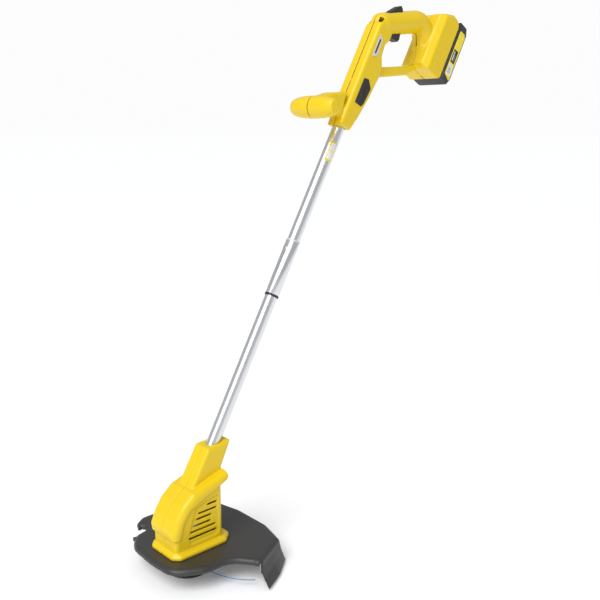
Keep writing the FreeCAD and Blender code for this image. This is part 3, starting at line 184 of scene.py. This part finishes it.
def spread(tree, value, low, high, to_low, to_high):
    """A value brought from one range to another and held inside it."""
    node = tree.nodes.new("ShaderNodeMapRange")
    tree.links.new(value, node.inputs["Value"])
    for label, number in (("From Min", low), ("From Max", high), ("To Min", to_low), ("To Max", to_high)):
        node.inputs[label].default_value = number
    return node.outputs["Result"]


def noise(tree, scale, detail=3.0, roughness=0.55, vector=None):
    node = tree.nodes.new("ShaderNodeTexNoise")
    node.inputs["Detail"].default_value = detail
    node.inputs["Roughness"].default_value = roughness
    if isinstance(scale, (int, float)):
        node.inputs["Scale"].default_value = scale
    else:
        tree.links.new(scale, node.inputs["Scale"])
    tree.links.new(vector or object_position(tree), node.inputs["Vector"])
    return node.outputs["Fac"]


def moulded_grain():
    """The fine pitted skin of moulded plastic: height, and a slow drift of gloss."""
    tree, given, out = effect("moulded_grain", {"Scale": 900.0, "Drift Scale": 14.0},
                              {"Height": "NodeSocketFloat", "Drift": "NodeSocketFloat"})
    cells = tree.nodes.new("ShaderNodeTexVoronoi")
    cells.feature = "SMOOTH_F1"
    tree.links.new(object_position(tree), cells.inputs["Vector"])
    tree.links.new(given.outputs["Scale"], cells.inputs["Scale"])
    pits = spread(tree, cells.outputs["Distance"], 0.1, 0.7, 0.0, 1.0)
    speck = noise(tree, maths(tree, "MULTIPLY", given.outputs["Scale"], 2.3), 2.0)
    tree.links.new(maths(tree, "ADD", pits, maths(tree, "MULTIPLY", speck, 0.4)), out.inputs["Height"])
    tree.links.new(noise(tree, given.outputs["Drift Scale"], 4.0, 0.6), out.inputs["Drift"])
    return tree


def worn_edge():
    """How much handling has rubbed the edges: 1 on a convex edge, broken up by noise, and a scuff mask."""
    tree, given, out = effect("worn_edge", {"Edge": 0.53, "Softness": 0.06, "Scuff Scale": 60.0},
                              {"Edge": "NodeSocketFloat", "Scuff": "NodeSocketFloat"})
    bend = tree.nodes.new("ShaderNodeNewGeometry").outputs["Pointiness"]
    above = maths(tree, "SUBTRACT", bend, given.outputs["Edge"])
    share = maths(tree, "DIVIDE", above, given.outputs["Softness"])
    broken = spread(tree, noise(tree, given.outputs["Scuff Scale"], 5.0, 0.65), 0.42, 0.62, 0.0, 1.0)
    clamp = tree.nodes.new("ShaderNodeClamp")
    tree.links.new(maths(tree, "MULTIPLY", share, broken), clamp.inputs["Value"])
    tree.links.new(clamp.outputs[0], out.inputs["Edge"])
    stretch = tree.nodes.new("ShaderNodeMapping")
    stretch.inputs["Scale"].default_value = (1.0, 1.0, 6.0)
    tree.links.new(object_position(tree), stretch.inputs["Vector"])
    scratch = noise(tree, 38.0, 6.0, 0.7, stretch.outputs["Vector"])
    tree.links.new(spread(tree, scratch, 0.60, 0.72, 0.0, 1.0), out.inputs["Scuff"])
    return tree


def drawn_lines():
    """Fine lines along a drawn tube: height and tone, with the pattern turned to the leaning shaft."""
    tree, given, out = effect("drawn_lines", {"Across": 1600.0, "Lengthwise": 6.0},
                              {"Height": "NodeSocketFloat", "Tone": "NodeSocketFloat"})
    turn = tree.nodes.new("ShaderNodeMapping")
    turn.vector_type = "TEXTURE"
    turn.inputs["Rotation"].default_value = (0, LEAN, 0)
    tree.links.new(object_position(tree), turn.inputs["Vector"])
    scale = tree.nodes.new("ShaderNodeCombineXYZ")
    tree.links.new(given.outputs["Across"], scale.inputs[0])
    tree.links.new(given.outputs["Across"], scale.inputs[1])
    tree.links.new(given.outputs["Lengthwise"], scale.inputs[2])
    stretch = tree.nodes.new("ShaderNodeVectorMath")
    stretch.operation = "MULTIPLY"
    tree.links.new(turn.outputs["Vector"], stretch.inputs[0])
    tree.links.new(scale.outputs[0], stretch.inputs[1])
    fine = noise(tree, 1.0, 2.0, 0.5, stretch.outputs[0])
    tree.links.new(fine, out.inputs["Height"])
    tree.links.new(spread(tree, fine, 0.3, 0.7, 0.0, 1.0), out.inputs["Tone"])
    return tree


GRAIN, WEAR, LINES = moulded_grain(), worn_edge(), drawn_lines()


class Finish:
    """One material being put together around its own shader."""

    def __init__(self, name, metallic=0.0):
        self.material = bpy.data.materials.new(name)
        self.material.use_nodes = True
        self.tree = self.material.node_tree
        self.shader = self.tree.nodes["Principled BSDF"]
        self.shader.inputs["Metallic"].default_value = metallic

    def group(self, tree, **numbers):
        """A shared effect placed in this material with its own numbers."""
        node = self.tree.nodes.new("ShaderNodeGroup")
        node.node_tree = tree
        for label, value in numbers.items():
            node.inputs[label.replace("_", " ").title()].default_value = value
        return node.outputs

    def colours(self, mask, first, second):
        """Two colours mixed by a mask; either may be another mix."""
        mix = self.tree.nodes.new("ShaderNodeMix")
        mix.data_type = "RGBA"
        self.tree.links.new(mask, mix.inputs["Factor"])
        for socket, colour in ((mix.inputs[6], first), (mix.inputs[7], second)):
            if isinstance(colour, tuple):
                socket.default_value = (*colour, 1)
            else:
                self.tree.links.new(colour, socket)
        return mix.outputs[2]

    def wire(self, value, socket):
        self.tree.links.new(value, self.shader.inputs[socket])

    def bump(self, height, distance, strength=1.0):
        node = self.tree.nodes.new("ShaderNodeBump")
        node.inputs["Distance"].default_value = distance
        node.inputs["Strength"].default_value = strength
        self.tree.links.new(height, node.inputs["Height"])
        self.wire(node.outputs["Normal"], "Normal")


def moulded_plastic(name, colour, drift_colour, worn_colour, roughness, grain, depth, edge=0.53):
    """Coloured plastic with a moulded skin, slow drift in tone and gloss, and rubbed edges."""
    finish = Finish(name)
    skin = finish.group(GRAIN, scale=grain)
    wear = finish.group(WEAR, edge=edge)
    base = finish.colours(skin["Drift"], colour, drift_colour)
    finish.wire(finish.colours(wear["Edge"], base, worn_colour), "Base Color")
    gloss = spread(finish.tree, skin["Drift"], 0.3, 0.7, roughness - 0.05, roughness + 0.05)
    scuffed = maths(finish.tree, "MULTIPLY", wear["Scuff"], 0.08)
    finish.wire(maths(finish.tree, "ADD", gloss, scuffed), "Roughness")
    finish.bump(skin["Height"], depth)
    return finish.material


def bare_metal(name, colour, roughness, drift=0.06):
    """Plain metal whose gloss drifts a little."""
    finish = Finish(name, metallic=1.0)
    skin = finish.group(GRAIN, scale=600.0, drift_scale=40.0)
    darker = tuple(0.82 * part for part in colour)
    finish.wire(finish.colours(skin["Drift"], colour, darker), "Base Color")
    gloss = spread(finish.tree, skin["Drift"], 0.3, 0.7, roughness - drift, roughness + drift)
    finish.wire(gloss, "Roughness")
    finish.bump(skin["Height"], 0.00002, 0.4)
    return finish.material


def tube_finish():
    """Drawn and anodised aluminium."""
    finish = Finish("drawn_aluminium", metallic=1.0)
    lines = finish.group(LINES)
    skin = finish.group(GRAIN, drift_scale=9.0)
    finish.wire(finish.colours(lines["Tone"], (0.80, 0.81, 0.82), (0.70, 0.71, 0.72)), "Base Color")
    finish.wire(spread(finish.tree, skin["Drift"], 0.3, 0.7, 0.24, 0.34), "Roughness")
    finish.bump(lines["Height"], 0.00004, 0.5)
    return finish.material


YELLOW = moulded_plastic("yellow_moulded", (0.82, 0.58, 0.001), (0.77, 0.535, 0.001), (0.88, 0.68, 0.03),
                         roughness=0.34, grain=1500.0, depth=0.00002, edge=0.56)
BLACK = moulded_plastic("black_grained", (0.018, 0.018, 0.019), (0.026, 0.026, 0.027), (0.07, 0.07, 0.07),
                        roughness=0.5, grain=700.0, depth=0.00008)
GUARD = moulded_plastic("guard_satin", (0.030, 0.030, 0.029), (0.038, 0.038, 0.037), (0.085, 0.085, 0.083),
                        roughness=0.42, grain=800.0, depth=0.00006)
RUBBER = moulded_plastic("soft_black", (0.012, 0.012, 0.012), (0.02, 0.02, 0.02), (0.05, 0.05, 0.05),
                         roughness=0.62, grain=1100.0, depth=0.00005)
PLATE = moulded_plastic("plate_grey", (0.60, 0.61, 0.62), (0.54, 0.55, 0.56), (0.70, 0.70, 0.70),
                        roughness=0.3, grain=1500.0, depth=0.00001)
WHITE_PRINT = moulded_plastic("print_white", (0.80, 0.80, 0.79), (0.74, 0.74, 0.73), (0.84, 0.84, 0.84),
                              roughness=0.3, grain=1500.0, depth=0.00001)
YELLOW_PRINT = moulded_plastic("print_yellow", (0.86, 0.68, 0.01), (0.80, 0.62, 0.01), (0.9, 0.74, 0.05),
                               roughness=0.3, grain=1500.0, depth=0.00001)
BLACK_PRINT = moulded_plastic("print_black", (0.015, 0.015, 0.015), (0.02, 0.02, 0.02), (0.04, 0.04, 0.04),
                              roughness=0.3, grain=1500.0, depth=0.00001)
GREY_PRINT = moulded_plastic("print_grey", (0.25, 0.25, 0.25), (0.3, 0.3, 0.3), (0.34, 0.34, 0.34),
                             roughness=0.3, grain=1500.0, depth=0.00001)
BOARD = moulded_plastic("board_green", (0.02, 0.16, 0.07), (0.03, 0.20, 0.09), (0.1, 0.3, 0.15),
                        roughness=0.35, grain=1200.0, depth=0.00002)
WRAP = moulded_plastic("cell_sleeve", (0.06, 0.35, 0.18), (0.05, 0.30, 0.15), (0.1, 0.4, 0.2),
                       roughness=0.25, grain=1200.0, depth=0.00001)
NYLON = moulded_plastic("blue_nylon", (0.04, 0.27, 0.52), (0.02, 0.16, 0.40), (0.16, 0.42, 0.62),
                        roughness=0.3, grain=2200.0, depth=0.0001)
ALUMINIUM = tube_finish()
ZINC = bare_metal("zinc_plated", (0.62, 0.62, 0.63), 0.32)
GROUND = bare_metal("ground_steel", (0.70, 0.70, 0.71), 0.18)
SPRING = bare_metal("spring_wire", (0.42, 0.42, 0.43), 0.3)
COPPER = bare_metal("copper_winding", (0.75, 0.36, 0.18), 0.3)
MAGNET = bare_metal("sintered_magnet", (0.12, 0.12, 0.12), 0.5)

SLOT_FINISH = {"yellow_plastic": YELLOW, "black_plastic": BLACK, "guard_plastic": GUARD,
               "tube_metal": ALUMINIUM,
               "steel": ZINC, "spring_steel": SPRING, "nylon_line": NYLON, "soft_black": RUBBER,
               "label_print": YELLOW_PRINT, "plate_finish": PLATE, "copper": COPPER, "board_green": BOARD,
               "cell_wrap": WRAP, "bright_steel": GROUND, "magnet": MAGNET}
NODE_SLOT = {part["node"]: part["material_slot"] for part in frame["record"]["subparts"]}
NODE_BODY = {node: body for body, nodes in frame["record"]["behaviour"]["bodies"].items() for node in nodes}

for node, item in frame["nodes"].items():
    item.data.materials.clear()
    item.data.materials.append(SLOT_FINISH[NODE_SLOT[node]])


# ---------------------------------------------------------------- making pieces

def merged(*nodes):
    """A mesh of CAD nodes with the loose triangles joined up."""
    bm = bmesh.new()
    for node in nodes:
        bm.from_mesh(frame["nodes"][node].data)
    bmesh.ops.remove_doubles(bm, verts=bm.verts, dist=2e-6)
    return bm


def piece(name, bm, materials, body, slot, *nodes):
    """A finished piece from a mesh in the row frame, riding on its body and standing for its nodes."""
    mesh = bpy.data.meshes.new(name)
    bm.to_mesh(mesh)
    bm.free()
    item = bpy.data.objects.new(name, mesh)
    bpy.context.scene.collection.objects.link(item)
    for material in materials:
        mesh.materials.append(material)
    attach(item, body)
    if nodes:
        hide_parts(*nodes)
    return item


def stand_in(name, bm, node, *materials):
    """A piece for one node, with that node's body, and the finish of that node's slot unless others are
    given.
    """
    slot = NODE_SLOT[node]
    return piece(name, bm, materials or (SLOT_FINISH[slot],), NODE_BODY[node], slot, node)


def smooth_faces(item):
    for face in item.data.polygons:
        face.use_smooth = True


def keep_shape(item):
    """Applies what the modifiers have made of a piece."""
    graph = bpy.context.evaluated_depsgraph_get()
    made = bpy.data.meshes.new_from_object(item.evaluated_get(graph), depsgraph=graph)
    old = item.data
    item.modifiers.clear()
    item.data = made
    bpy.data.meshes.remove(old)
    item.data.name = item.name


SEAM_KEEP = 2.2 * MM    # no blend moves a point this near the middle plane
SEAM_REACH = 0.5 * MM    # a point this near it lies on the seam
SEAM_GAP = 0.03 * MM    # a half's seam face stands this far off it
FLAT = math.radians(1.0)


def moulded(name, node, voxel, rounds, blends=(), seam=0):
    """A node's shape softened as a mould leaves it.

    Blends are (point, reach in mm, rounds), where it flows more. Seam is the side of a half shell, or 0.
    """
    item = stand_in(name, merged(node), node)
    remesh = item.modifiers.new("skin", "REMESH")
    remesh.mode = "VOXEL"
    remesh.voxel_size = voxel * MM
    remesh.use_smooth_shade = True
    relax = item.modifiers.new("relax", "SMOOTH")
    relax.factor = 0.5
    relax.iterations = rounds
    keep_shape(item)
    for i, (middle, reach, more) in enumerate(blends):
        group = item.vertex_groups.new(name=f"blend_{i}")
        for vert in item.data.vertices:
            near = 1 - (vert.co - middle).length / (reach * MM)
            if near > 0 and (not seam or abs(vert.co.y) > SEAM_KEEP):
                group.add([vert.index], min(1.0, 2 * near), "REPLACE")
        flow = item.modifiers.new(f"flow_{i}", "SMOOTH")
        flow.factor = 0.5
        flow.iterations = more
        flow.vertex_group = group.name
    if blends:
        keep_shape(item)
        item.vertex_groups.clear()
    if seam:
        for vert in item.data.vertices:
            if abs(vert.co.y) < SEAM_REACH:
                vert.co.y = seam * SEAM_GAP
    return item


def ease(item, width, segments=2, angle=32):
    """Breaks a piece's edges by a small round."""
    smooth_faces(item)
    round_off = item.modifiers.new("round", "BEVEL")
    round_off.width = width * MM
    round_off.segments = segments
    round_off.limit_method = "ANGLE"
    round_off.angle_limit = math.radians(angle)
    round_off.harden_normals = True
    return item


def flattened(node):
    """A node's mesh with the triangles of each flat face joined into one."""
    bm = merged(node)
    bmesh.ops.dissolve_limit(bm, angle_limit=FLAT, verts=bm.verts, edges=bm.edges)
    return bm


def eased(name, node, width, segments=2, angle=32, *materials):
    """A node's shape with its edges broken by a small round."""
    return ease(stand_in(name, flattened(node), node, *materials), width, segments, angle)


def rounded(node, round_to, segments):
    """A node's mesh with every edge rounded in the mesh itself."""
    bm = flattened(node)
    edges = [edge for edge in bm.edges if edge.is_manifold]
    bmesh.ops.bevel(bm, geom=edges, offset=round_to * MM, segments=segments, profile=0.5, affect="EDGES",
                    clamp_overlap=True, material=-1)
    return bm


LATHE_STEPS = 96


def lathe(outline):
    """A closed outline of (radius, height) in millimetres, turned about the shaft's line."""
    bm = bmesh.new()
    verts = [bm.verts.new((radius * MM, 0, height * MM)) for radius, height in outline]
    edges = [bm.edges.new(pair) for pair in zip(verts, verts[1:] + verts[:1])]
    bmesh.ops.spin(bm, geom=verts + edges, cent=(0, 0, 0), axis=(0, 0, 1), dvec=(0, 0, 0),
                   angle=2 * math.pi, steps=LATHE_STEPS, use_merge=True, use_duplicate=False)
    bmesh.ops.recalc_face_normals(bm, faces=bm.faces)
    bmesh.ops.transform(bm, matrix=SHAFT, verts=bm.verts)
    return bm


def add_block(bm, low, high, round_to, material=0):
    """Adds a block with rounded edges between two corners in millimetres (across, side, along)."""
    verts = bmesh.ops.create_cube(bm, size=1)["verts"]
    low, high = Vector(low), Vector(high)
    bmesh.ops.scale(bm, vec=(high - low) * MM, verts=verts)
    bmesh.ops.translate(bm, vec=(high + low) / 2 * MM, verts=verts)
    bmesh.ops.transform(bm, matrix=SHAFT, verts=verts)
    for face in {face for vert in verts for face in vert.link_faces}:
        face.material_index = material
    edges = list({edge for vert in verts for edge in vert.link_edges})
    bmesh.ops.bevel(bm, geom=edges, offset=round_to * MM, segments=2, profile=0.5, affect="EDGES",
                    clamp_overlap=True, material=-1)


# ---------------------------------------------------------------- shells

SHELL_VOXEL = 1.5
HOUSING_VOXEL = 1.15
BUTTON_VOXEL = 0.6
BARREL_TOP = on_shaft(6, 926)
FRONT_BAR_ROOT = Vector((0.312, 0, 0.765))
STRUT_ROOT = on_shaft(28, 850)
GRIP_END = on_shaft(112, 930)
NECK = Vector((0.058, 0, 0.203))
SIDE_PANEL = Vector((0.045, 0, 0.162))
FLANGE_BACK = Vector((-0.03, 0, 0.050))
FLANGE_FRONT = Vector((0.055, 0, 0.050))
FLAP_TIP = Vector((0.128, -0.096, 0.036))

for side, word in SIDES:
    out = Vector((0, side * MM, 0))
    moulded("handle_" + word, "handle_shell_" + word, SHELL_VOXEL, 4,
            [(BARREL_TOP + 14 * out, 30, 26), (FRONT_BAR_ROOT + 24 * out, 24, 22),
             (STRUT_ROOT + 10 * out, 22, 16), (GRIP_END + 14 * out, 22, 10)], side)
    moulded("housing_" + word, "motor_housing_" + word, HOUSING_VOXEL, 3,
            [(NECK + 14 * out, 26, 18), (SIDE_PANEL + 20 * out, 20, 10),
             (FLANGE_BACK + 34 * out, 20, 8), (FLANGE_FRONT + 34 * out, 20, 8)], side)
moulded("debris_guard", "guard", SHELL_VOXEL, 4, [(FLAP_TIP, 26, 14)])
moulded("trigger_blade", "trigger", BUTTON_VOXEL, 6)
moulded("lock_wedge", "lock_button", BUTTON_VOXEL, 4)


# ---------------------------------------------------------------- tube and its joint

def tubes():
    """The two drawn tubes, the joint sleeve with its rings and the snap button."""
    radius, wall, lip = 11.0, 1.2, 0.35
    for name, node, low, high in (("lower_tube", "tube_lower", 35.0, 432.0),
                                  ("upper_tube", "tube_upper", 432.3, 800.0)):
        outline = [(radius - wall, low), (radius - lip, low), (radius, low + lip), (radius, high - lip),
                   (radius - lip, high), (radius - wall, high)]
        smooth_faces(ease(stand_in(name, lathe(outline), node), 0.2, 1, 40))
    eased("joint_sleeve_shell", "joint_sleeve", 0.3)
    outline = [(10.9, 382.6), (12.1, 382.6), (12.5, 383.1), (12.5, 386.4), (12.1, 386.9), (10.9, 386.9)]
    ease(stand_in("seal_ring_round", lathe(outline), "seal_ring"), 0.2, 1, 40)
    outline = [(11.02, 486.0), (12.3, 486.0), (12.3, 487.6), (11.7, 489.0), (11.02, 489.0)]
    ease(stand_in("sleeve_end_collar", lathe(outline), "sleeve_collar"), 0.3, 2, 30)
    eased("snap_pin", "snap_button", 0.7, 3)


tubes()


# ---------------------------------------------------------------- labels, badges and inserts

FILM_RADIUS = 11.34
MARK_RISE = 0.05
PACK_FACE = 35.0
BADGE_MARKS = (19.3, 19.62)
RIB_SPAN = (19.2, 20.3)
RIBS = 5
RIB_PITCH = 3.0
RIB_HALF = 0.75


def tube_label():
    """A printed film round the near side of the tube: a yellow frame with pale fields and plain marks."""
    eased("tube_film", "tube_label", 0.05, 1, 40, YELLOW_PRINT)
    bm = bmesh.new()
    for low, high, first, last, material in ((647, 661, 222, 276, 0), (663.5, 677, 222, 276, 0),
                                             (666, 673, 230, 246, 1), (650, 652, 226, 262, 2),
                                             (653.6, 655.2, 226, 268, 2), (656.8, 658.4, 226, 256, 2),
                                             (667, 669, 252, 272, 2), (671, 673, 252, 268, 2)):
        start, sweep = math.radians(first), math.radians(last - first)
        depth = FILM_RADIUS + MARK_RISE * (material > 0)
        corners = [Vector((depth * math.cos(start), depth * math.sin(start), z)) * MM for z in (low, high)]
        verts = [bm.verts.new(corner) for corner in corners]
        edge = bm.edges.new(verts)
        made = bmesh.ops.spin(bm, geom=verts + [edge], cent=(0, 0, 0), axis=(0, 0, 1), dvec=(0, 0, 0),
                              angle=sweep, steps=12, use_merge=False, use_duplicate=False)
        for face in {face for vert in made["geom_last"] if isinstance(vert, bmesh.types.BMVert)
                     for face in vert.link_faces}:
            face.material_index = material
    bmesh.ops.recalc_face_normals(bm, faces=bm.faces)
    bmesh.ops.transform(bm, matrix=SHAFT, verts=bm.verts)
    smooth_faces(piece("tube_film_marks", bm, (WHITE_PRINT, BLACK_PRINT, GREY_PRINT), "tool", "label_print"))


def battery_label(side, word):
    """The strip on the pack's side: yellow film, a pale field, a dark field and three raised ridges."""
    bm = merged("battery_label_" + word)
    for face in bm.faces:
        face.material_index = 0
    face_y = side * PACK_FACE
    rows = [(176.0, 188.6, 930.0, 953.0, 0.20, 1), (175.6, 188.6, 956.5, 984.0, 0.20, 2)]
    rows += [(178.0, 179.6, 933.0, 949.0, 0.34, 3), (181.2, 182.4, 933.0, 946.0, 0.34, 3),
             (184.2, 185.4, 933.0, 950.0, 0.34, 3), (178.4, 180.6, 960.0, 980.0, 0.34, 1),
             (183.0, 184.2, 960.0, 974.0, 0.34, 3)]
    rows += [(176.0, 188.0, along, along + 1.6, 0.7, 0) for along in (992.0, 999.0, 1006.0)]
    for p_low, p_high, l_low, l_high, stand, material in rows:
        ends = sorted((face_y - side * 0.1, face_y + side * stand))
        round_to = 0.12 if stand < 0.5 else 0.4
        add_block(bm, (p_low, ends[0], l_low), (p_high, ends[1], l_high), round_to, material)
    stand_in("pack_strip_" + word, bm, "battery_label_" + word, YELLOW_PRINT, WHITE_PRINT, BLACK_PRINT,
             GREY_PRINT)


def badge(side, word):
    """The plate on the barrel's side: pale grey with a dark bar and a yellow bar, no lettering."""
    bm = rounded("badge_plate_" + word, 0.35, 2)
    for p_mid, half, l_low, l_high, material in ((-1.6, 1.9, 861.0, 889.0, 1), (2.2, 0.8, 865.0, 889.0, 2)):
        ends = sorted(side * depth for depth in BADGE_MARKS)
        add_block(bm, (p_mid - half, ends[0], l_low), (p_mid + half, ends[1], l_high), 0.15, material)
    return stand_in("barrel_badge_" + word, bm, "badge_plate_" + word, PLATE, BLACK_PRINT, YELLOW_PRINT)


def insert(side, word):
    """The soft insert let into the barrel's side, with a framed field of upright ribs."""
    bm = rounded("side_insert_" + word, 0.6, 3)
    ends = sorted(side * depth for depth in RIB_SPAN)
    for i in range(RIBS):
        across = 2.2 + RIB_PITCH * i
        add_block(bm, (across - RIB_HALF, ends[0], 768.5 - 0.3 * i),
                  (across + RIB_HALF, ends[1], 799.5 - 0.6 * i), 0.45)
    return stand_in("barrel_insert_" + word, bm, "side_insert_" + word)


tube_label()
for side, word in SIDES:
    battery_label(side, word)
    smooth_faces(badge(side, word))
    smooth_faces(insert(side, word))


# ---------------------------------------------------------------- battery, head, line and guard fittings

eased("pack_case", "battery_case", 1.4, 3)
eased("pack_rail_lid", "battery_cover", 0.5)
eased("pack_release", "release_button", 0.8, 3)
eased("head_skirt", "head_base", 0.5)
eased("head_cover", "spool_cover", 0.4)
eased("bump_knob", "tap_knob", 0.6)
eased("eyelet", "line_eyelet", 0.25)
eased("cutter_blade", "line_cutter_blade", 0.15, 1)

LINE_ROUTE = [(3.7, -35.6, 13.8), (5.5, -52.7, 13.3), (11.0, -73.5, 12.6), (20.2, -92.9, 12.0),
              (33.2, -110.0, 11.3), (46.6, -120.8, 10.8)]


def cutting_line():
    """The free stretch of nylon line on the route's own smooth spline."""
    data = bpy.data.curves.new("trimmer_line", "CURVE")
    data.dimensions = "3D"
    data.bevel_depth = 0.8 * MM
    data.bevel_resolution = 4
    data.resolution_u = 24
    data.use_fill_caps = True
    spline = data.splines.new("NURBS")
    spline.points.add(len(LINE_ROUTE) - 1)
    for point, spot in zip(spline.points, LINE_ROUTE):
        point.co = (*[part * MM for part in spot], 1)
    spline.order_u = 3
    spline.use_endpoint_u = True
    item = bpy.data.objects.new("trimmer_line", data)
    bpy.context.scene.collection.objects.link(item)
    data.materials.append(NYLON)
    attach(item, "cutting_head")
    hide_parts("cutting_line")


cutting_line()
